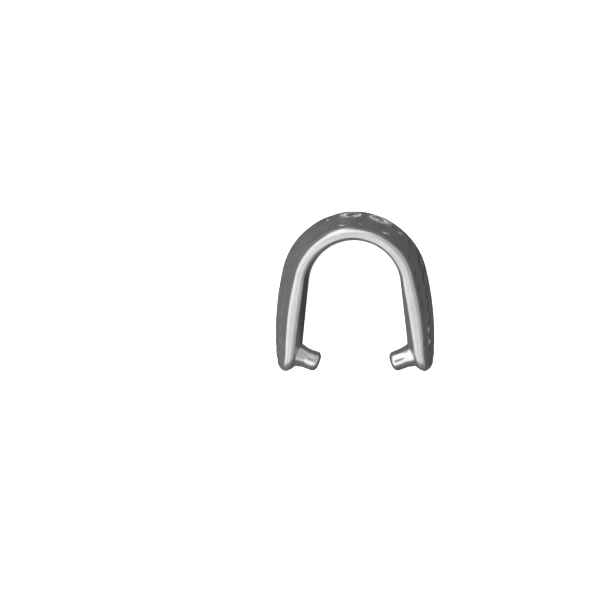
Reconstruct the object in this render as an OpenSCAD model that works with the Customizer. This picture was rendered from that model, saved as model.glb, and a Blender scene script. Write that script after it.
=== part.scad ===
// Pinch bail: a cast finding that hangs a pendant on a chain.
// It is one casting: a crown arch, two tapering leaves that run down from it,
// and two round prongs that point at each other from the ends of the leaves.
// It lies on its side, as it rests by itself. X runs across the two leaves,
// +Y runs from their tips to the crown, and +Z is up, across the leaves' width.

/* [Throat] */
// Radius of the inside of the crown
throat_r = 4.5; // [3.6:0.1:7]
// Outward lean of the inner face of each leaf, in degrees
leaf_lean = 6.2; // [0:0.2:10]
// Drop from the centre of the throat to the tips of the leaves
leaf_drop = 8.64; // [7.5:0.02:14]

/* [Thickness] */
// Thickness of the crown at its ridge
crown_t = 2.72; // [2.2:0.02:4]
// Thickness of a leaf at its ridge, where the bail is widest
leaf_t = 2.73; // [2.2:0.01:4]
// Drop from the centre of the throat to where the bail is widest
bow_drop = 5.2; // [3:0.1:7]
// Radius of the slow bow along the outside of a leaf
bow_r = 30; // [22:1:60]

/* [Leaf outline] */
// Width of the crown
crown_w = 7.74; // [6:0.1:12]
// Drop from the top of the crown to the shoulders, where the taper starts
shoulder_drop = 2.8; // [1.5:0.1:4]
// Radius that eases the shoulder
shoulder_r = 10; // [4:0.5:16]
// Radius of the leaf's tip, seen from the front
tip_r = 1.62; // [1.3:0.02:2]
// Length of the rounding at the leaf's tip, on its outer side
tip_len = 1.1; // [0.8:0.1:2]
// Length of the slower rounding at the tip, on its inner side
tip_back = 2.2; // [1.2:0.1:3]

/* [Section] */
// Fall of the outer face from its ridge to the rim, where it is deepest
outer_fall = 1.5; // [0.8:0.05:1.6]
// Fall of the inner face from its ridge to the rim, where it is deepest
inner_fall = 1.05; // [0.3:0.05:1.2]
// Rounding of the outer edges at the crown
outer_round = 0.6; // [0.3:0.05:0.9]
// Rounding of the inner edges
inner_round = 0.5; // [0.2:0.05:0.8]

/* [Prongs] */
// Diameter of a prong
prong_d = 2; // [1.4:0.1:2.4]
// Length of a prong from the ridge of the inner face to its end
prong_len = 1.9; // [1.5:0.1:3]
// Drop of a prong towards its end, in degrees
prong_dip = 21; // [0:1:25]
// Distance from the leaf's tip up to where the prong's axis leaves the leaf
prong_rise = 1.5; // [1.3:0.05:3]
// Radius round the end of a prong
prong_edge = 0.48; // [0.1:0.02:0.48]
// Distance from the ridge of the inner face to where a prong's flared foot ends
prong_neck = 0.4; // [0.3:0.05:0.6]
// Growth of a prong's radius from the neck down to its buried root
prong_flare = 0.35; // [0.1:0.05:0.6]
// Depth of a prong's root inside the leaf
prong_root = 1; // [0.6:0.1:1.4]

/* [Hammer marks] */
// Diameter of the largest hammer marks
mark_d = 1.4; // [0.8:0.05:1.6]
// Depth of a hammer mark
mark_depth = 0.12; // [0.05:0.01:0.2]
// Diameter of the marks at the tip, as a share of the largest
mark_least = 0.76; // [0.6:0.02:1]

/* [Hidden] */
$fn = 64;

// Steps of the loft along half the crown, along a leaf and round a leaf's tip
CROWN_STEPS = 10;
LEAF_STEPS = 8;
TIP_STEPS = 7;
// Share of the way from the crown's top to the tip that the crown takes
CROWN_SHARE = 0.47;
// Where the tip ends, as a share of the thickness from the inner face
TIP_BIAS = 0.66;

// Sections from the crown (way 0) to the leaf's tip (way 1).
// FALL_OUT and FALL_IN are shares of outer_fall and inner_fall, MID and EDGE the shares
// of the outer fall reached at half the width and at the rounding, EDGE_IN the same
// for the inner face, and ROUND the share of the crown's outer rounding.
WAY = 0;
FALL_OUT = 1;
FALL_IN = 2;
MID = 3;
EDGE = 4;
EDGE_IN = 5;
ROUND = 6;
SECTIONS = [
    [0.00, 0.78, 0.90, 0.22, 0.66, 0.70, 0.90],
    [0.15, 0.83, 0.80, 0.25, 0.68, 0.70, 0.88],
    [0.31, 0.94, 0.57, 0.32, 0.74, 0.72, 0.78],
    [0.47, 1.00, 0.45, 0.38, 0.79, 0.74, 0.65],
    [0.64, 0.90, 0.60, 0.40, 0.80, 0.75, 0.58],
    [0.75, 0.83, 0.65, 0.40, 0.80, 0.75, 0.55],
    [0.85, 0.73, 0.70, 0.40, 0.79, 0.75, 0.52],
    [1.00, 0.56, 0.72, 0.38, 0.78, 0.75, 0.50]
];

// Columns of hammer marks, as ways from the crown to the tip, and each column's
// place as a share of the half width. The other leaf has the same, turned half round.
UPPER_INNER = [0, 0.117, 0.226, 0.333, 0.424, 0.506, 0.593, 0.66, 0.727, 0.8, 0.872, 0.938];
UPPER_OUTER = [0.055, 0.165, 0.27, 0.37, 0.46, 0.54, 0.623, 0.692, 0.764, 0.83];
LOWER_INNER = [0.105, 0.215, 0.325, 0.42, 0.5, 0.576, 0.653, 0.732, 0.805, 0.872, 0.938];
LOWER_OUTER = [0.05, 0.16, 0.275, 0.37, 0.454, 0.535, 0.61, 0.68, 0.752, 0.819, 0.886];
INNER_PLACE = 0.25;
OUTER_PLACE = 0.66;

// Throat: an arc round the origin, then a leaf's straight inner face
lean_start = [throat_r * cos(leaf_lean), throat_r * sin(leaf_lean)];
function inner_x(y) = lean_start[0] + (lean_start[1] - y) * tan(leaf_lean);

// Outside: the crown's arc runs into the leaf's bow, whose centre is across the throat
crown_top = throat_r + crown_t;
bow_x = inner_x(-bow_drop) + leaf_t;
bow_centre = [bow_x - bow_r, -bow_drop];
bow_height = crown_top + bow_drop;
crown_r = (bow_r ^ 2 - bow_centre[0] ^ 2 - bow_height ^ 2) / (2 * (bow_r - bow_height));
crown_centre_y = crown_top - crown_r;
bow_start = atan2(crown_centre_y + bow_drop, -bow_centre[0]);
function outer_x(y) = bow_centre[0] + sqrt(bow_r ^ 2 - (y + bow_drop) ^ 2);

// Outline of the leaf: straight at the crown, tapered from the shoulders to a round tip
tip_y = -leaf_drop;
tip_centre_y = tip_y + tip_r;
shoulder_y = crown_top - shoulder_drop;
crown_half_w = crown_w / 2;
taper_run = shoulder_y - tip_centre_y;
taper = asin(crown_half_w / norm([crown_half_w, taper_run])) - asin(tip_r / norm([crown_half_w, taper_run]));
shoulder_ease = shoulder_r * tan(taper / 2);
function half_w(y) =
    y > shoulder_y + shoulder_ease ? crown_half_w :
    y > shoulder_y - shoulder_ease * cos(taper) ?
        crown_half_w - shoulder_r + sqrt(shoulder_r ^ 2 - (shoulder_y + shoulder_ease - y) ^ 2) :
    y > tip_centre_y - tip_r * sin(taper) ? tip_r / cos(taper) + (y - tip_centre_y) * tan(taper) :
    sqrt(max(0, tip_r ^ 2 - (y - tip_centre_y) ^ 2));

// Rounding of the tip in the side view: 1 above it, falling to 0 at the end
function tip_share(y, len) = sqrt(max(0, 1 - max(0, (tip_y + len - y) / len) ^ 2));
end_x = inner_x(tip_y) + TIP_BIAS * (outer_x(tip_y) - inner_x(tip_y));
function mix(a, b, t) = a + (b - a) * t;

// The two ends of a section, on the inner and the outer ridge, at a way along the bail
function leaf_way(way) = (way - CROWN_SHARE) / (1 - CROWN_SHARE);
function inner_at(way) =
    way <= CROWN_SHARE ?
        let(turn = (90 - leaf_lean) * way / CROWN_SHARE) throat_r * [sin(turn), cos(turn)] :
    let(y = mix(lean_start[1], tip_y, leaf_way(way)))
        [mix(end_x, inner_x(y), tip_share(y, tip_back)), y];
function outer_at(way) =
    way <= CROWN_SHARE ?
        let(turn = (90 - bow_start) * way / CROWN_SHARE)
            [crown_r * sin(turn), crown_centre_y + crown_r * cos(turn)] :
    let(y = mix(crown_centre_y + crown_r * sin(bow_start), tip_y, leaf_way(way)))
        [mix(end_x, outer_x(y), tip_share(y, tip_len)), y];

function column(c) = [for (row = SECTIONS) [row[WAY], row[c]]];
function share(way, c) = lookup(way, column(c));

// One ring of the loft: its points in order round the section, from the outer ridge
function curve(a, c, b, t) = (1 - t) ^ 2 * a + 2 * t * (1 - t) * c + t ^ 2 * b;
function half_ring(way) =
    let(
        inner = inner_at(way), outer = outer_at(way), t = norm(outer - inner),
        along = (outer - inner) / t,
        shrink = way <= CROWN_SHARE ? 1 : min(1, t / (outer_x(outer[1]) - inner_x(inner[1]))),
        fall_out = outer_fall * share(way, FALL_OUT) * shrink,
        fall_in = inner_fall * share(way, FALL_IN) * shrink,
        edge_out = fall_out * share(way, EDGE), edge_in = fall_in * share(way, EDGE_IN),
        round_out = outer_round * share(way, ROUND) * shrink,
        round_in = inner_round * share(way, ROUND) * shrink,
        // Points are [distance from the inner ridge, distance in from the rim]
        out_a = [t - edge_out, round_out], out_c = [t - edge_out, 0], out_b = [t - fall_out, 0],
        in_a = [fall_in, 0], in_c = [edge_in, 0], in_b = [edge_in, round_in],
        bent = [
            out_a, curve(out_a, out_c, out_b, 1 / 3), curve(out_a, out_c, out_b, 2 / 3), out_b,
            in_a, curve(in_a, in_c, in_b, 1 / 3), curve(in_a, in_c, in_b, 2 / 3), in_b
        ],
        mid = inner + along * (t - fall_out * share(way, MID))
    )
    concat(
        [[mid[0], mid[1], half_w(mid[1]) / 2]],
        [for (p = bent) let(q = inner + along * p[0]) [q[0], q[1], max(0, half_w(q[1]) - p[1])]]
    );
function ring(way) =
    let(half = half_ring(way), outer = outer_at(way), inner = inner_at(way), n = len(half))
    concat(
        [[outer[0], outer[1], 0]], half, [[inner[0], inner[1], 0]],
        [for (i = [n - 1:-1:0]) [half[i][0], half[i][1], -half[i][2]]]
    );

// Ways of the rings from the crown to one tip
round_way = mix(CROWN_SHARE, 1, (lean_start[1] - tip_y - tip_back) / (lean_start[1] - tip_y));
WAYS = concat(
    [for (i = [0:CROWN_STEPS - 1]) CROWN_SHARE * i / CROWN_STEPS],
    [for (i = [0:LEAF_STEPS - 1]) mix(CROWN_SHARE, round_way, i / LEAF_STEPS)],
    [for (i = [0:TIP_STEPS - 1]) mix(round_way, 1, sin(90 * i / TIP_STEPS))]
);
function flip(p) = [-p[0], p[1], p[2]];
HALF_RINGS = [for (way = WAYS) ring(way)];
RINGS = concat(
    [for (i = [len(WAYS) - 1:-1:1]) [for (p = HALF_RINGS[i]) flip(p)]],
    HALF_RINGS
);
RING_POINTS = len(RINGS[0]);
RING_COUNT = len(RINGS);
SKIN = concat([for (r = RINGS) each r], [[-end_x, tip_y, 0], [end_x, tip_y, 0]]);

// Faces of the loft: two triangles between each pair of points, and a fan at each tip
function at(r, i) = r * RING_POINTS + i % RING_POINTS;
SKIN_FACES = concat(
    [for (r = [0:RING_COUNT - 2]) for (i = [0:RING_POINTS - 1]) [at(r, i), at(r + 1, i), at(r, i + 1)]],
    [for (r = [0:RING_COUNT - 2]) for (i = [0:RING_POINTS - 1]) [at(r + 1, i), at(r + 1, i + 1), at(r, i + 1)]],
    [for (i = [0:RING_POINTS - 1]) [RING_POINTS * RING_COUNT, at(0, i), at(0, i + 1)]],
    [for (i = [0:RING_POINTS - 1]) [
        RING_POINTS * RING_COUNT + 1, at(RING_COUNT - 1, i + 1), at(RING_COUNT - 1, i)
    ]]
);

module arch_and_leaves() {
    polyhedron(points = SKIN, faces = SKIN_FACES, convexity = 6);
}

// Prongs: the axis leaves the inner ridge and dips towards the tip
prong_r = prong_d / 2;
end_round = min(prong_edge, 0.49 * prong_r);
prong_y = tip_y + prong_rise;
prong_foot = [inner_x(prong_y), prong_y, 0];
module prong_outline() {
    polygon([
        [0, 0], [prong_r + prong_flare, 0], [prong_r, prong_root + prong_neck],
        [prong_r, prong_root + prong_len - end_round], [0, prong_root + prong_len - end_round]
    ]);
    square([prong_r - end_round, prong_root + prong_len]);
    translate([prong_r - end_round, prong_root + prong_len - end_round]) circle(r = end_round);
}
module prong() {
    translate(prong_foot) rotate([0, 0, 180 + prong_dip]) rotate([0, 90, 0])
        translate([0, 0, -prong_root]) rotate_extrude() prong_outline();
}

// Hammer marks: a ball sunk into the outer face, square to it
module mark(way, place) {
    outer = outer_at(way);
    inner = inner_at(way);
    along = (outer - inner) / norm(outer - inner);
    width = half_w(outer[1]);
    fall = outer_fall * share(way, FALL_OUT);
    mid_fall = fall * share(way, MID);
    edge_fall = fall * share(way, EDGE);
    z = place * width;
    depth_here = lookup(abs(place), [[0, 0], [0.5, mid_fall], [0.9, edge_fall]]);
    slope = (abs(place) < 0.5 ? mid_fall / (0.5 * width) : (edge_fall - mid_fall) / (0.4 * width));
    out = [along[0], along[1], sign(place) * slope];
    r = mark_d * mix(1, mark_least, way) / 2;
    ball_r = (r ^ 2 + mark_depth ^ 2) / (2 * mark_depth);
    skin = outer - along * depth_here;
    centre = [skin[0], skin[1], z] + out / norm(out) * (ball_r - mark_depth);
    translate(centre) sphere(r = ball_r);
}
module leaf_marks() {
    for (way = UPPER_INNER) mark(way, INNER_PLACE);
    for (way = UPPER_OUTER) mark(way, OUTER_PLACE);
    for (way = LOWER_INNER) mark(way, -INNER_PLACE);
    for (way = LOWER_OUTER) mark(way, -OUTER_PLACE);
}

// Rest: the lower side of both leaves is flat on the ground, so the crown is raised
rest_lift = tip_r - tip_centre_y * sin(taper);
function rested_y(p) = p[1] * cos(taper) - p[2] * sin(taper);
skin_ys = [for (p = SKIN) rested_y(p)];
prong_end_y = (prong_y - (prong_len - end_round) * sin(prong_dip)) * cos(taper);
prong_low_y = prong_end_y - end_round
    - (prong_r - end_round) * sqrt(1 - (sin(prong_dip) * cos(taper)) ^ 2);
rest_mid_y = (max(skin_ys) + min(min(skin_ys), prong_low_y)) / 2;

module bail() {
    color("silver") translate([0, -rest_mid_y, rest_lift]) rotate([taper, 0, 0]) {
        difference() {
            arch_and_leaves();
            leaf_marks();
            rotate([0, 180, 0]) leaf_marks();
        }
        prong();
        mirror([1, 0, 0]) prong();
    }
}

bail();
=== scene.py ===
"""Pinch bail, lying on its side: its finish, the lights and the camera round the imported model.

Sizes are in millimetres, in the bail's own frame: X across the two leaves, Y from their tips
to the crown and Z across the leaves' width. place() turns them to the rest pose, and mesh_object()
brings them to metres.
"""
import math

import bpy
import numpy as np
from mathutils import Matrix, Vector
from mathutils.bvhtree import BVHTree


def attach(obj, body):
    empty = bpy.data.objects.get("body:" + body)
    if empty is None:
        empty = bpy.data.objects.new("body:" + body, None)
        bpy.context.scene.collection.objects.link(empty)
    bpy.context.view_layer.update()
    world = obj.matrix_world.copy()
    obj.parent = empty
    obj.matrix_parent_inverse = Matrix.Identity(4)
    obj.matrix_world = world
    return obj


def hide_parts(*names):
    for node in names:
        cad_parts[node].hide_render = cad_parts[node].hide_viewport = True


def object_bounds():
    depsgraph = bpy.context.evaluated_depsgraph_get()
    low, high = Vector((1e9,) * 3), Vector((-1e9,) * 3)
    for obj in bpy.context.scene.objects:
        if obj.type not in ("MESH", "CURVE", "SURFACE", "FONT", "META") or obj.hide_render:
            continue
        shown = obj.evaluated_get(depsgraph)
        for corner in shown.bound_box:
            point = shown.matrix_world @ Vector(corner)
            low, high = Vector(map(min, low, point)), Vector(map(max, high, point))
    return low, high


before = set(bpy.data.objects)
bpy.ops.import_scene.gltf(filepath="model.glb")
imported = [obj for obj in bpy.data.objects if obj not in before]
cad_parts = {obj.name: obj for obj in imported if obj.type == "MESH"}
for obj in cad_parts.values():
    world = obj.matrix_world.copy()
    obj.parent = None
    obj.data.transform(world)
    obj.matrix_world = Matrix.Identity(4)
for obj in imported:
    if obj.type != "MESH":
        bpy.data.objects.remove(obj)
cad_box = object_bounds()

MM = 0.001

# Radius of the inside of the crown, outward lean of the leaves' inner faces, and drop from the
# centre of the throat to the tips
THROAT_R = 4.5
LEAF_LEAN = math.radians(6.2)
LEAF_DROP = 8.64
# Thickness of the crown at its ridge, and of a leaf where the bail is widest
CROWN_T = 2.72
LEAF_T = 2.73
# Drop from the centre of the throat to where the bail is widest, and radius of the slow bow there
BOW_DROP = 5.2
BOW_R = 30.0

# Width of the crown, drop from its top to the shoulders, and the radius that eases them
CROWN_W = 7.74
SHOULDER_DROP = 2.8
SHOULDER_R = 10.0
# Radius of the leaf's tip from the front, and its rounding from the side, outside and inside
TIP_R = 1.62
TIP_LEN = 1.1
TIP_BACK = 2.2
# Where the tip ends, as a share of the thickness from the inner face
TIP_BIAS = 0.66

# Fall of the outer and the inner face from ridge to rim, and rounding of their edges
OUTER_FALL = 1.5
INNER_FALL = 1.05
OUTER_ROUND = 0.6
INNER_ROUND = 0.5
# Power of the inner face's fall from its ridge to its edge
INNER_CURVE = 1.5
# How far a rim falls towards its edges, the share of its width that each fall takes, and its power
RIM_SOFT = 0.08
RIM_SOFT_SHARE = 0.24
RIM_CURVE = 1.15
# A way is a share of the run from the crown's top (0) to a leaf's tip (1), and this one ends the crown
CROWN_SHARE = 0.47
# Ways between which the fall towards the rim's inner edge grows, so that the crown's top has none
RIM_EASE = (0.12, 0.42)
# Sections: the way, then the shares of the outer fall, the inner fall, the outer fall at half the
# width and at the rounding, the inner fall at the rounding, and the rounding
SECTIONS = np.array([
    [0.00, 0.78, 0.90, 0.22, 0.66, 0.70, 0.90],
    [0.15, 0.83, 0.80, 0.25, 0.68, 0.70, 0.88],
    [0.31, 0.94, 0.57, 0.32, 0.74, 0.72, 0.78],
    [0.47, 1.00, 0.45, 0.38, 0.79, 0.74, 0.65],
    [0.64, 0.90, 0.60, 0.40, 0.80, 0.75, 0.58],
    [0.75, 0.83, 0.65, 0.40, 0.80, 0.75, 0.55],
    [0.85, 0.73, 0.70, 0.40, 0.79, 0.75, 0.52],
    [1.00, 0.56, 0.72, 0.38, 0.78, 0.75, 0.50],
])
FALL_OUT, FALL_IN, MID, EDGE, EDGE_IN, ROUND = range(1, 7)
# Ways on either side over which a column is smoothed, its samples, and how much of a cosine weighs them
SMOOTH_SPAN = 0.05
SMOOTH_SAMPLES = 9
SMOOTH_TURN = 0.9
# Least share of the width that the outer face takes, and least thickness and width to divide by
LEAST_FACE = 0.3
LEAST_T = 0.1
LEAST_W = 0.05
TINY = 1e-9

# Radius and length of a prong from the ridge of the inner face, its drop towards its end, and the
# distance from the leaf's tip up to where its axis leaves the leaf
PRONG_R = 1.0
PRONG_LEN = 1.9
PRONG_DIP = math.radians(21)
PRONG_RISE = 1.5
# Rounding of a prong's end, along it and across it
PRONG_EDGE = 0.48
PRONG_CAP = 0.65
# Where the flared foot ends, and growth of the radius from there to the root inside the leaf
PRONG_NECK = 0.4
PRONG_FLARE = 0.35
PRONG_ROOT = 1.0
PRONG_FILLET = 0.08
# Depth that a prong goes on into the leaf
PRONG_SINK = 0.25
# Points round a prong, and along its fillet, its side and its round end
PRONG_TURNS = 96
FILLET_STEPS = 8
SIDE_STEPS = 8
END_STEPS = 10
# Share of the side's length where its first ring lies, past the fillet
SIDE_START = 0.1
# How far past a prong's end the search for the leaf's face starts
SEARCH_START = 1.0

# Hammer marks: the way of each in four columns, and each column's place across half the width
UPPER_INNER = [0, 0.117, 0.226, 0.333, 0.424, 0.506, 0.593, 0.66, 0.727, 0.8, 0.872, 0.938]
UPPER_OUTER = [0.055, 0.165, 0.27, 0.37, 0.46, 0.54, 0.623, 0.692, 0.764, 0.83]
LOWER_INNER = [0.105, 0.215, 0.325, 0.42, 0.5, 0.576, 0.653, 0.732, 0.805, 0.872, 0.938]
LOWER_OUTER = [0.05, 0.16, 0.275, 0.37, 0.454, 0.535, 0.61, 0.68, 0.752, 0.819, 0.886]
INNER_PLACE = 0.25
OUTER_PLACE = 0.66
# Diameter of the largest marks, the share of it that is left at the tip, depth, and softness of the lip
MARK_D = 1.4
MARK_LEAST = 0.76
MARK_DEPTH = 0.12
MARK_LIP = 0.012
# Scatter of the marks' size and depth, and how far out the lip reaches, as shares
MARK_SEED = 7
MARK_SIZES = (0.96, 1.04)
MARK_DEPTHS = (0.85, 1.1)
MARK_REACH = 1.6

# Greys of the studio from left to right, below the bail and along the horizon, and overhead
LOW_GREYS = ((0.0, 0.22), (0.5, 0.15), (1.0, 0.105))
HORIZON_GREYS = ((0.0, 0.27), (0.5, 0.19), (1.0, 0.15))
OVERHEAD = 1.33
# Grey that only the camera sees, behind the bail
BACKDROP = 0.85
# Heights of a direction where the greys of the horizon and of overhead start and are full
HORIZON_SPAN = (0.0, 0.2)
OVERHEAD_SPAN = (0.34, 0.58)
# Patches of the studio: direction, cosines where each starts and is full, and its grey
PATCHES = (
    # Dark low beyond the crown and low to the right, for the thin dark outline
    ((0.02, 0.37, -0.93), 0.90, 0.98, 0.10),
    ((0.42, 0.06, -0.905), 0.925, 0.980, 0.045),
    # Grey high on the right, for the right-facing edge of the rims
    ((0.42, 0.45, 0.79), 0.80, 0.89, 0.53),
    ((0.80, 0.15, 0.58), 0.84, 0.92, 0.53),
    ((0.75, -0.30, 0.60), 0.76, 0.87, 0.51),
    # Dark beyond the tips, for their round ends, and a grey spot above for the right prong
    ((0.00, -0.95, 0.30), 0.90, 0.945, 0.17),
    ((0.28, -0.45, 0.85), 0.972, 0.990, 0.55),
    # Pale on the left, for the left-facing edges of the rims
    ((-0.60, -0.45, 0.60), 0.80, 0.90, 1.3),
    # Two dark spots overhead, for the line along each prong
    ((0.00, -0.03, 1.00), 0.970, 0.992, 0.12),
    ((-0.16, -0.12, 0.98), 0.968, 0.988, 0.10),
    # Bright high beyond the crown, for the band along the right prong
    ((-0.25, 0.60, 0.75), 0.86, 0.93, 1.6),
    # Bright beyond the crown on the left, for the highlight along the crown's rim
    ((-0.40, 0.87, 0.28), 0.990, 0.997, 1.8),
    ((-0.24, 0.93, 0.28), 0.990, 0.997, 1.8),
    # Small, bright and low beyond the crown, for the glints near its top
    ((-0.09, 0.58, -0.81), 0.997, 0.9992, 2.3),
    ((0.17, 0.56, -0.81), 0.9975, 0.9993, 1.9),
    ((0.235, 0.54, -0.81), 0.998, 0.9993, 1.7),
)
# The floor: size in metres, grey and roughness
FLOOR_SIZE = 4.0
FLOOR_GREY = 0.9
FLOOR_ROUGH = 0.9
# Two soft lights, in metres: place, size and watts
LIGHTS = {
    "key": ((-0.15, -0.15, 0.5), 0.4, 6.0),
    "fill": ((0.2, 0.2, 0.5), 0.5, 6.0),
}

# Finish: scale and detail of its three noises
BLOTCH = (420, 5)
SPECK = (9000, 2)
GRAIN = (5200, 3)
SPECK_SHARE = 0.6
# Tint of the metal where the noise is low and where it is high
DARK_TINT = (0.35, (0.66, 0.66, 0.67, 1))
PALE_TINT = (0.65, (0.83, 0.83, 0.835, 1))
# Roughness of the polished faces and of the satin rims, and the most that wear adds to either
POLISHED = 0.2
SATIN = 0.38
WEAR = 0.08
# Strength of the cast grain, and its height in metres
GRAIN_STRENGTH = 0.25
GRAIN_HEIGHT = 0.00006

# Points of the fine mesh: rings along a half, and points along each stretch of a half section
RINGS = 165
TIP_RINGS = 40
FACE_POINTS = 44
BEND_POINTS = 9
RIM_POINTS = 14
INNER_POINTS = 16
# Share of the tip's quarter turn where its last ring lies
TIP_STOP = 0.97
# Points past each edge of a rim that share its satin finish
SATIN_POINTS = 2


def tan_line():
    """Where the throat's arc meets the straight inner face."""
    return THROAT_R * math.cos(LEAF_LEAN), THROAT_R * math.sin(LEAF_LEAN)


def inner_x(y):
    """Place of a leaf's inner face at a height."""
    x0, y0 = tan_line()
    return x0 + (y0 - y) * math.tan(LEAF_LEAN)


# The outside: the crown's arc runs smoothly into the slow bow of the leaf
CROWN_TOP = THROAT_R + CROWN_T
BOW_X = inner_x(-BOW_DROP) + LEAF_T
BOW_CX = BOW_X - BOW_R
BOW_HEIGHT = CROWN_TOP + BOW_DROP
CROWN_R = (BOW_R**2 - BOW_CX**2 - BOW_HEIGHT**2) / (2 * (BOW_R - BOW_HEIGHT))
CROWN_CY = CROWN_TOP - CROWN_R
BOW_START = math.atan2(CROWN_CY + BOW_DROP, -BOW_CX)
BOW_TOP = CROWN_CY + CROWN_R * math.sin(BOW_START)
# The outline: from the shoulder the sides taper in a straight line to the round tip
TIP_Y = -LEAF_DROP
TIP_CY = TIP_Y + TIP_R
SHOULDER_Y = CROWN_TOP - SHOULDER_DROP
CROWN_HALF_W = CROWN_W / 2
TAPER_RUN = SHOULDER_Y - TIP_CY
TAPER_SPAN = math.hypot(CROWN_HALF_W, TAPER_RUN)
TAPER = math.asin(CROWN_HALF_W / TAPER_SPAN) - math.asin(TIP_R / TAPER_SPAN)
SHOULDER_EASE = SHOULDER_R * math.tan(TAPER / 2)


def outer_x(y):
    """Place of a leaf's outer ridge at a height."""
    return BOW_CX + np.sqrt(BOW_R**2 - (y + BOW_DROP) ** 2)


def half_w(y):
    """Half the leaf's width at a height, with the eased shoulder and the round tip."""
    y = np.asarray(y, float)
    eased = CROWN_HALF_W - SHOULDER_R + np.sqrt(
        np.maximum(0, SHOULDER_R**2 - (SHOULDER_Y + SHOULDER_EASE - y) ** 2)
    )
    tapered = TIP_R / math.cos(TAPER) + (y - TIP_CY) * math.tan(TAPER)
    tip = np.sqrt(np.maximum(0, TIP_R**2 - (y - TIP_CY) ** 2))
    wide = np.where(y > SHOULDER_Y + SHOULDER_EASE, CROWN_HALF_W, eased)
    wide = np.where(y > SHOULDER_Y - SHOULDER_EASE * math.cos(TAPER), wide, tapered)
    return np.where(y > TIP_CY - TIP_R * math.sin(TAPER), wide, tip)


def tip_share(y, length):
    """Rounding of the tip from the side: 1 above it, falling to 0 at the end."""
    return np.sqrt(np.maximum(0, 1 - np.maximum(0, (TIP_Y + length - y) / length) ** 2))


END_X = inner_x(TIP_Y) + TIP_BIAS * (outer_x(TIP_Y) - inner_x(TIP_Y))


def mix(a, b, t):
    """The value between a and b, at the share t from a."""
    return a + (b - a) * t


def ridge_points(way):
    """The inner and outer ends of the sections at some ways, each as a row of x and y."""
    way = np.asarray(way, float)
    crown = way <= CROWN_SHARE
    turn = np.minimum(way / CROWN_SHARE, 1)
    t_in = (math.pi / 2 - LEAF_LEAN) * turn
    t_out = (math.pi / 2 - BOW_START) * turn
    down = (way - CROWN_SHARE) / (1 - CROWN_SHARE)
    y_in = mix(tan_line()[1], TIP_Y, down)
    y_out = mix(BOW_TOP, TIP_Y, down)
    x_in = mix(END_X, inner_x(y_in), tip_share(y_in, TIP_BACK))
    x_out = mix(END_X, outer_x(y_out), tip_share(y_out, TIP_LEN))
    inner = np.stack([
        np.where(crown, THROAT_R * np.sin(t_in), x_in),
        np.where(crown, THROAT_R * np.cos(t_in), y_in),
    ], -1)
    outer = np.stack([
        np.where(crown, CROWN_R * np.sin(t_out), x_out),
        np.where(crown, CROWN_CY + CROWN_R * np.cos(t_out), y_out),
    ], -1)
    return inner, outer


def share(way, column):
    """A column of the section table, eased so that no crease shows where its rows meet."""
    steps = np.linspace(-1, 1, SMOOTH_SAMPLES)
    weights = np.cos(steps * math.pi / 2 * SMOOTH_TURN)
    way = np.abs(np.asarray(way, float)[..., None] + steps * SMOOTH_SPAN)
    values = np.interp(way, SECTIONS[:, 0], SECTIONS[:, column])
    return (values * weights).sum(-1) / weights.sum()


def bend(a, c, b, t):
    """A curve from a to b that leaves and lands towards the corner c."""
    return (1 - t) ** 2 * a + 2 * t * (1 - t) * c + t**2 * b


def face_curve(way, outer_y, shrink):
    """Slope and curvature of the outer face's fall away from the ridge, and where it ends."""
    fall = OUTER_FALL * share(way, FALL_OUT) * shrink
    width = half_w(outer_y)
    round_out = OUTER_ROUND * share(way, ROUND) * shrink
    z_mid, z_end = width / 2, np.maximum(width - round_out, width * LEAST_FACE)
    f_mid, f_end = fall * share(way, MID), fall * share(way, EDGE)
    curved = (f_end / z_end - f_mid / z_mid) / (z_end - z_mid)
    slope = f_mid / z_mid - curved * z_mid
    return fall, slope, curved, z_end, round_out


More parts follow.
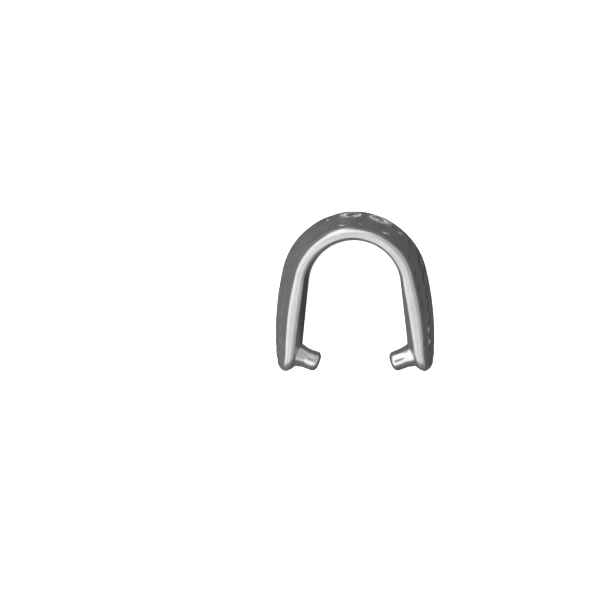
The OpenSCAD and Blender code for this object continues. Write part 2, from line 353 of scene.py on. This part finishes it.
def half_section(way):
    """Rows of points from the outer ridge over the rim to the inner ridge, one row a ring."""
    way = np.asarray(way, float)
    inner, outer = ridge_points(way)
    thick = np.linalg.norm(outer - inner, axis=-1)
    along = (outer - inner) / np.maximum(thick, TINY)[:, None]
    full = outer_x(np.minimum(outer[:, 1], BOW_TOP)) - inner_x(inner[:, 1])
    shrink = np.where(way <= CROWN_SHARE, 1, np.minimum(1, thick / np.maximum(full, LEAST_T)))
    fall, slope, curved, z_end, round_out = face_curve(way, outer[:, 1], shrink)
    fall_in = INNER_FALL * share(way, FALL_IN) * shrink
    edge_in = fall_in * share(way, EDGE_IN)
    round_in = INNER_ROUND * share(way, ROUND) * shrink
    soft_out = RIM_SOFT * shrink
    soft_in = soft_out * np.clip((way - RIM_EASE[0]) / (RIM_EASE[1] - RIM_EASE[0]), 0, 1)
    steep = 1 / (RIM_SOFT_SHARE * np.maximum(thick - fall - fall_in, LEAST_W))

    # Each stretch is a distance from the inner ridge, and on the rim and its two bends an inset
    # from the leaf's side. The outer face comes first.
    face_steps = np.linspace(0, 1, FACE_POINTS)
    z_face = z_end[:, None] * face_steps
    d_face = thick[:, None] - slope[:, None] * z_face - curved[:, None] * z_face**2

    # The bend from the outer face to the rim
    steps = np.linspace(0, 1, BEND_POINTS)[1:]
    edge_out = slope * z_end + curved * z_end**2
    corner_out = np.minimum(edge_out + (slope + 2 * curved * z_end) * round_out, fall)
    d_out = bend((thick - edge_out)[:, None], (thick - corner_out)[:, None], (thick - fall)[:, None], steps)
    soft_corner_out = soft_out * (1 + steep * (fall - corner_out))
    inset_out = bend(round_out[:, None], soft_corner_out[:, None], soft_out[:, None], steps)

    # The rim
    steps = np.linspace(0, 1, RIM_POINTS)[1:-1]
    d_rim = mix((thick - fall)[:, None], fall_in[:, None], steps)
    to_edge = np.maximum(0, 1 - np.minimum(steps, 1 - steps) / RIM_SOFT_SHARE)
    inset_rim = np.where(steps < 0.5, soft_out[:, None], soft_in[:, None]) * to_edge**RIM_CURVE

    # The bend from the rim to the inner face
    steps = np.linspace(0, 1, BEND_POINTS)
    slope_in = edge_in / np.maximum(half_w(inner[:, 1]) - round_in, LEAST_W)
    corner_in = np.minimum(edge_in + slope_in * round_in, fall_in)
    d_in = bend(fall_in[:, None], corner_in[:, None], edge_in[:, None], steps)
    soft_corner_in = soft_in * (1 + steep * (fall_in - corner_in))
    inset_in = bend(soft_in[:, None], soft_corner_in[:, None], round_in[:, None], steps)

    # The inner face
    inner_steps = np.linspace(1, 0, INNER_POINTS)[1:]
    d_inner = edge_in[:, None] * inner_steps**INNER_CURVE

    def xy(distance):
        """Points at some distances from the inner ridge, as x and y."""
        return inner[:, None, :] + along[:, None, :] * distance[..., None]

    at_edge = xy(d_face[:, -1:])[:, 0, 1]
    z_face = face_steps * np.maximum(half_w(at_edge) - round_out, 0)[:, None]
    blocks = [np.concatenate([xy(d_face), z_face[..., None]], -1)]
    for distance, inset in ((d_out, inset_out), (d_rim, inset_rim), (d_in, inset_in)):
        flat = xy(distance)
        z = np.maximum(half_w(flat[..., 1]) - inset, 0)
        blocks.append(np.concatenate([flat, z[..., None]], -1))
    z_inner = inner_steps * blocks[-1][:, -1:, 2]
    blocks.append(np.concatenate([xy(d_inner), z_inner[..., None]], -1))
    return np.concatenate(blocks, 1)


def grid():
    """The whole skin as rings of points, from the left tip over the crown to the right tip."""
    leaf_top = tan_line()[1]
    round_way = mix(CROWN_SHARE, 1, (leaf_top - TIP_Y - TIP_BACK) / (leaf_top - TIP_Y))
    ways = np.concatenate([
        np.linspace(0, round_way, RINGS, endpoint=False),
        mix(round_way, 1, np.sin(np.linspace(0, TIP_STOP, TIP_RINGS) * math.pi / 2)),
    ])
    half = half_section(ways)
    lower = half[:, -2:0:-1] * [1, 1, -1]
    right = np.concatenate([half, lower], 1)
    left = right[:0:-1] * [-1, 1, 1]
    return np.concatenate([left, right], 0)


def normals_of(points):
    """Outward normals of a grid of points."""
    around = np.roll(points, -1, 1) - np.roll(points, 1, 1)
    down = np.gradient(points, axis=0)
    normals = np.cross(around, down)
    return normals / np.maximum(np.linalg.norm(normals, axis=-1, keepdims=True), TINY)


def mark_list():
    """Every hammer mark as its centre on the skin, radius and depth.

    The second leaf's marks have the places of the first's, turned half round.
    """
    rng = np.random.default_rng(MARK_SEED)
    marks = []
    columns = (
        (UPPER_INNER, INNER_PLACE), (UPPER_OUTER, OUTER_PLACE),
        (LOWER_INNER, -INNER_PLACE), (LOWER_OUTER, -OUTER_PLACE),
    )
    for turned in (1, -1):
        for ways, across in columns:
            for way in ways:
                inner, outer = ridge_points([way])
                along = (outer - inner)[0] / np.linalg.norm(outer - inner)
                _, slope, curved, _, _ = face_curve([way], outer[:, 1], np.ones(1))
                z = across * half_w(outer[0, 1])
                drop = slope[0] * abs(z) + curved[0] * z * z
                x, y = outer[0] - along * drop
                radius = MARK_D / 2 * mix(1, MARK_LEAST, way) * rng.uniform(*MARK_SIZES)
                depth = MARK_DEPTH * rng.uniform(*MARK_DEPTHS)
                marks.append(((turned * x, y, turned * z), radius, depth))
    return marks


def hammered(points):
    """How far each point sinks under the hammer marks, with a soft lip round each."""
    sink = np.zeros(points.shape[:2])
    for centre, radius, depth in mark_list():
        near = np.linalg.norm(points - np.array(centre), axis=-1) / radius
        bowl = depth * (1 - near**2)
        soft = 0.5 * (bowl + np.sqrt(bowl**2 + MARK_LIP**2)) * (near < MARK_REACH)
        sink = np.maximum(sink, soft)
    return sink


def place(points):
    """Turn points to the rest pose: the lower sides of both leaves lie flat on the ground."""
    c, s = math.cos(TAPER), math.sin(TAPER)
    points = np.asarray(points, float)
    x, y, z = points[..., 0], points[..., 1], points[..., 2]
    lift = TIP_R - TIP_CY * s
    return np.stack([x, y * c - z * s, y * s + z * c + lift], -1)


def mesh_object(name, points, faces):
    """A smooth object from points in millimetres."""
    mesh = bpy.data.meshes.new(name)
    mesh.from_pydata((np.asarray(points) * MM).tolist(), [], faces)
    mesh.validate()
    mesh.update()
    obj = bpy.data.objects.new(name, mesh)
    bpy.context.scene.collection.objects.link(obj)
    mesh.polygons.foreach_set("use_smooth", [True] * len(mesh.polygons))
    return obj


def grid_faces(rows, columns):
    """Quads over a grid whose rows close on themselves."""
    i, j = np.meshgrid(np.arange(rows - 1), np.arange(columns), indexing="ij")
    k = (j + 1) % columns
    quads = np.stack([i * columns + j, i * columns + k, (i + 1) * columns + k, (i + 1) * columns + j], -1)
    return quads.reshape(-1, 4).tolist()


def skin_mesh():
    """The crown and both leaves as one closed skin, with what part of it is rim."""
    points = grid()
    rows, columns = points.shape[:2]
    face_end = FACE_POINTS + BEND_POINTS - 1
    column = np.arange(columns)
    to_ridge = np.minimum(column, columns - column)
    # The marks fade out over the bend into the rim
    fade = np.clip((face_end - to_ridge) / (BEND_POINTS - 1), 0, 1)
    sink = hammered(points) * fade
    moved = points - normals_of(points) * sink[..., None]
    flat = moved.reshape(-1, 3)
    # One point at each tip closes the skin
    ends = np.array([[-END_X, TIP_Y, 0], [END_X, TIP_Y, 0]])
    faces = grid_faces(rows, columns)
    first, last = len(flat), len(flat) + 1
    base = (rows - 1) * columns
    faces += [[first, (j + 1) % columns, j] for j in range(columns)]
    faces += [[last, base + j, base + (j + 1) % columns] for j in range(columns)]
    rim_end = face_end + RIM_POINTS + SATIN_POINTS
    on_rim = (to_ridge >= face_end - SATIN_POINTS) & (to_ridge <= rim_end)
    return np.concatenate([flat, ends]), faces, np.tile(on_rim, rows)


def prong_mesh(side, tree):
    """A prong with a round end, and a fillet that lands on the leaf's inner face."""
    y = TIP_Y + PRONG_RISE
    foot = np.array([side * inner_x(y), y, 0.0])
    axis = np.array([-side * math.cos(PRONG_DIP), -math.sin(PRONG_DIP), 0.0])
    up = np.array([0.0, 0.0, 1.0])
    across = np.cross(up, axis)

    def flared(along):
        """Radius of the prong at a distance along its axis."""
        return PRONG_R + PRONG_FLARE * max(0, PRONG_NECK - along) / (PRONG_ROOT + PRONG_NECK)

    def face_at(direction, radius):
        """Where along the axis the leaf's face lies, a radius away from the axis."""
        start = foot + axis * (PRONG_LEN + SEARCH_START) + direction * radius
        point = tree.ray_cast(Vector(start), Vector(-axis))[0]
        return float(np.dot(np.array(point) - foot, axis)) if point is not None else 0.0

    rows = []
    for k in range(PRONG_TURNS):
        angle = 2 * math.pi * k / PRONG_TURNS
        direction = across * math.cos(angle) + up * math.sin(angle)
        foot_r = flared(face_at(direction, flared(0)))
        near = face_at(direction, foot_r)
        far = face_at(direction, foot_r + PRONG_FILLET)
        start = near + PRONG_FILLET
        line = [(foot_r + PRONG_FILLET, far - PRONG_SINK)]
        for i in range(FILLET_STEPS + 1):
            t = i / FILLET_STEPS
            fillet_r = bend(foot_r + PRONG_FILLET, foot_r, flared(start), t)
            line.append((fillet_r, bend(far, near, start, t)))
        stop = PRONG_LEN - PRONG_EDGE
        for t in np.linspace(SIDE_START, 1, SIDE_STEPS):
            line.append((flared(mix(start, stop, t)), mix(start, stop, t)))
        for i in range(1, END_STEPS + 1):
            turn = math.pi / 2 * i / END_STEPS
            end_r = PRONG_R - PRONG_CAP + PRONG_CAP * math.cos(turn)
            line.append((end_r, stop + PRONG_EDGE * math.sin(turn)))
        # One more ring halfway in on the flat of the end
        line.append(((PRONG_R - PRONG_CAP) / 2, PRONG_LEN))
        rows.append([foot + axis * along + direction * radius for radius, along in line])
    points = np.array(rows).transpose(1, 0, 2)
    count = points.shape[0]
    flat = np.concatenate([points.reshape(-1, 3), [foot - axis * PRONG_SINK], [foot + axis * PRONG_LEN]])
    faces = grid_faces(count, PRONG_TURNS)
    root, tip = len(flat) - 2, len(flat) - 1
    base = (count - 1) * PRONG_TURNS
    for j in range(PRONG_TURNS):
        faces.append([root, (j + 1) % PRONG_TURNS, j])
    for j in range(PRONG_TURNS):
        faces.append([tip, base + j, base + (j + 1) % PRONG_TURNS])
    return flat, faces


def bail_object():
    """The skin and both prongs as one casting, its crown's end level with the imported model's."""
    points, faces, rim = skin_mesh()
    tree = BVHTree.FromPolygons(points.tolist(), faces)
    parts = [(points, faces)] + [prong_mesh(side, tree) for side in (1, -1)]
    all_points, all_faces, start = [], [], 0
    for part_points, part_faces in parts:
        all_points.append(place(part_points))
        all_faces += [[start + i for i in f] for f in part_faces]
        start += len(part_points)
    merged = np.concatenate(all_points)
    merged[:, 1] += cad_box[1][1] / MM - merged[:, 1].max()
    obj = mesh_object("bail_cast", merged, all_faces)
    # The finish reads what part of the casting is rim, and the prongs have none
    prong_points = len(merged) - len(rim)
    attribute = obj.data.attributes.new("rim", "FLOAT", "POINT")
    attribute.data.foreach_set("value", np.concatenate([rim.astype(float), np.zeros(prong_points)]))
    return obj


def noise(nodes, links, scale, detail):
    """A noise over the object's own coordinates."""
    coords = nodes.new("ShaderNodeTexCoord")
    texture = nodes.new("ShaderNodeTexNoise")
    texture.inputs["Scale"].default_value = scale
    texture.inputs["Detail"].default_value = detail
    links.new(coords.outputs["Object"], texture.inputs["Vector"])
    return texture.outputs["Fac"]


def plated_metal():
    """Bright white metal: satin on the rims, polished in the hammer marks, fine cast grain."""
    mat = bpy.data.materials.new("plated_metal")
    mat.use_nodes = True
    nodes, links = mat.node_tree.nodes, mat.node_tree.links
    shader = nodes["Principled BSDF"]
    shader.inputs["Metallic"].default_value = 1.0

    blotch = noise(nodes, links, *BLOTCH)
    both = nodes.new("ShaderNodeMix")
    both.inputs["Factor"].default_value = SPECK_SHARE
    links.new(blotch, both.inputs["A"])
    links.new(noise(nodes, links, *SPECK), both.inputs["B"])
    tint = nodes.new("ShaderNodeValToRGB")
    for stop, (position, colour) in zip(tint.color_ramp.elements, (DARK_TINT, PALE_TINT)):
        stop.position = position
        stop.color = colour
    links.new(both.outputs["Result"], tint.inputs["Fac"])
    links.new(tint.outputs["Color"], shader.inputs["Base Color"])

    rim = nodes.new("ShaderNodeAttribute")
    rim.attribute_name = "rim"
    rough = nodes.new("ShaderNodeMapRange")
    rough.inputs["To Min"].default_value = POLISHED
    rough.inputs["To Max"].default_value = SATIN
    links.new(rim.outputs["Fac"], rough.inputs["Value"])
    wear = nodes.new("ShaderNodeMath")
    wear.operation = "MULTIPLY_ADD"
    wear.inputs[1].default_value = WEAR
    links.new(blotch, wear.inputs[0])
    links.new(rough.outputs["Result"], wear.inputs[2])
    links.new(wear.outputs["Value"], shader.inputs["Roughness"])

    bump = nodes.new("ShaderNodeBump")
    bump.inputs["Strength"].default_value = GRAIN_STRENGTH
    bump.inputs["Distance"].default_value = GRAIN_HEIGHT
    links.new(noise(nodes, links, *GRAIN), bump.inputs["Height"])
    links.new(bump.outputs["Normal"], shader.inputs["Normal"])
    return mat


def pale_floor():
    """A plain white floor that the metal doesn't mirror."""
    bpy.ops.mesh.primitive_plane_add(size=FLOOR_SIZE, location=(0, 0, 0))
    floor = bpy.context.object
    floor.name = "floor"
    mat = bpy.data.materials.new("floor")
    mat.use_nodes = True
    shader = mat.node_tree.nodes["Principled BSDF"]
    shader.inputs["Base Color"].default_value = grey(FLOOR_GREY)
    shader.inputs["Roughness"].default_value = FLOOR_ROUGH
    floor.data.materials.append(mat)
    floor.visible_glossy = False


def soft_light(name, location, size, power):
    """A round light that faces the bail and lights the floor, but isn't mirrored in the metal."""
    data = bpy.data.lights.new(name, "AREA")
    data.shape = "DISK"
    data.size = size
    data.energy = power
    light = bpy.data.objects.new(name, data)
    light.location = location
    light.rotation_mode = "QUATERNION"
    light.rotation_quaternion = (-Vector(location)).to_track_quat("-Z", "Y")
    light.visible_glossy = False
    bpy.context.scene.collection.objects.link(light)


def grey(value):
    """A grey as a colour."""
    return value, value, value, 1


def surroundings():
    """Grey studio: pale overhead, dark towards the horizon and below, with a few soft patches."""
    world = bpy.data.worlds.new("studio")
    bpy.context.scene.world = world
    world.use_nodes = True
    nodes, links = world.node_tree.nodes, world.node_tree.links
    back = nodes["Background"]
    coords = nodes.new("ShaderNodeTexCoord")
    split = nodes.new("ShaderNodeSeparateXYZ")
    links.new(coords.outputs["Generated"], split.inputs["Vector"])

    def across_x(stops):
        """A run of greys from left to right."""
        place_x = nodes.new("ShaderNodeMapRange")
        place_x.inputs["From Min"].default_value = -1
        links.new(split.outputs["X"], place_x.inputs["Value"])
        ramp = nodes.new("ShaderNodeValToRGB")
        for i, (position, value) in enumerate(stops):
            stop = ramp.color_ramp.elements[i] if i < 2 else ramp.color_ramp.elements.new(position)
            stop.position = position
            stop.color = grey(value)
        links.new(place_x.outputs["Result"], ramp.inputs["Fac"])
        return ramp.outputs["Color"]

    def blend(below, above, value, start, end):
        """One grey or colour that passes softly into another as a value goes from start to end."""
        part = nodes.new("ShaderNodeMapRange")
        part.interpolation_type = "SMOOTHSTEP"
        part.inputs["From Min"].default_value = start
        part.inputs["From Max"].default_value = end
        links.new(value, part.inputs["Value"])
        both = nodes.new("ShaderNodeMix")
        both.data_type = "RGBA"
        links.new(part.outputs["Result"], both.inputs["Factor"])
        for socket, colour in (("A", below), ("B", above)):
            if isinstance(colour, float):
                both.inputs[socket].default_value = grey(colour)
            else:
                links.new(colour, both.inputs[socket])
        return both.outputs["Result"]

    def toward(direction):
        """The cosine between a direction and the one looked in."""
        dot = nodes.new("ShaderNodeVectorMath")
        dot.operation = "DOT_PRODUCT"
        dot.inputs[1].default_value = Vector(direction).normalized()
        links.new(coords.outputs["Generated"], dot.inputs[0])
        return dot.outputs["Value"]

    height = split.outputs["Z"]
    colour = blend(across_x(LOW_GREYS), across_x(HORIZON_GREYS), height, *HORIZON_SPAN)
    colour = blend(colour, OVERHEAD, height, *OVERHEAD_SPAN)
    for direction, start, end, value in PATCHES:
        colour = blend(colour, value, toward(direction), start, end)
    ray = nodes.new("ShaderNodeLightPath")
    colour = blend(colour, BACKDROP, ray.outputs["Is Camera Ray"], 0.0, 1.0)
    links.new(colour, back.inputs["Color"])


def camera():
    """Straight down on the bail, as the photograph's side view has it, crown at the top."""
    # The photograph's width, its scale on the bail, and where the middle of the bail lies in it
    photo_px = 600
    pixels_a_mm = 10.2
    centre_px = (354.5, 291.4)
    # Distance, height aimed at and nearest distance seen, in metres, and lean to the right
    distance = 0.30
    aim_height = 0.003
    nearest = 0.01
    lean = math.radians(2.3)
    sensor_mm = 36
    data = bpy.data.cameras.new("camera")
    data.sensor_width = sensor_mm
    span = photo_px / pixels_a_mm * MM
    data.lens = sensor_mm * distance / span
    cam = bpy.data.objects.new("camera", data)
    lo, hi = cad_box
    target = Vector(((lo[0] + hi[0]) / 2, (lo[1] + hi[1]) / 2, aim_height))
    cam.location = target + Vector((math.sin(lean), 0, math.cos(lean))) * distance
    cam.rotation_euler = (0, lean, 0)
    data.shift_x = -(centre_px[0] - photo_px / 2) / photo_px
    data.shift_y = (centre_px[1] - photo_px / 2) / photo_px
    data.clip_start = nearest
    bpy.context.scene.collection.objects.link(cam)
    bpy.context.scene.camera = cam


bail = bail_object()
bail.data.materials.append(plated_metal())
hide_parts("bail")
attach(bail, "root")
pale_floor()
surroundings()
for light_name, (place_m, size_m, watts) in LIGHTS.items():
    soft_light(light_name, place_m, size_m, watts)
bpy.context.scene.view_settings.view_transform = "Standard"
camera()
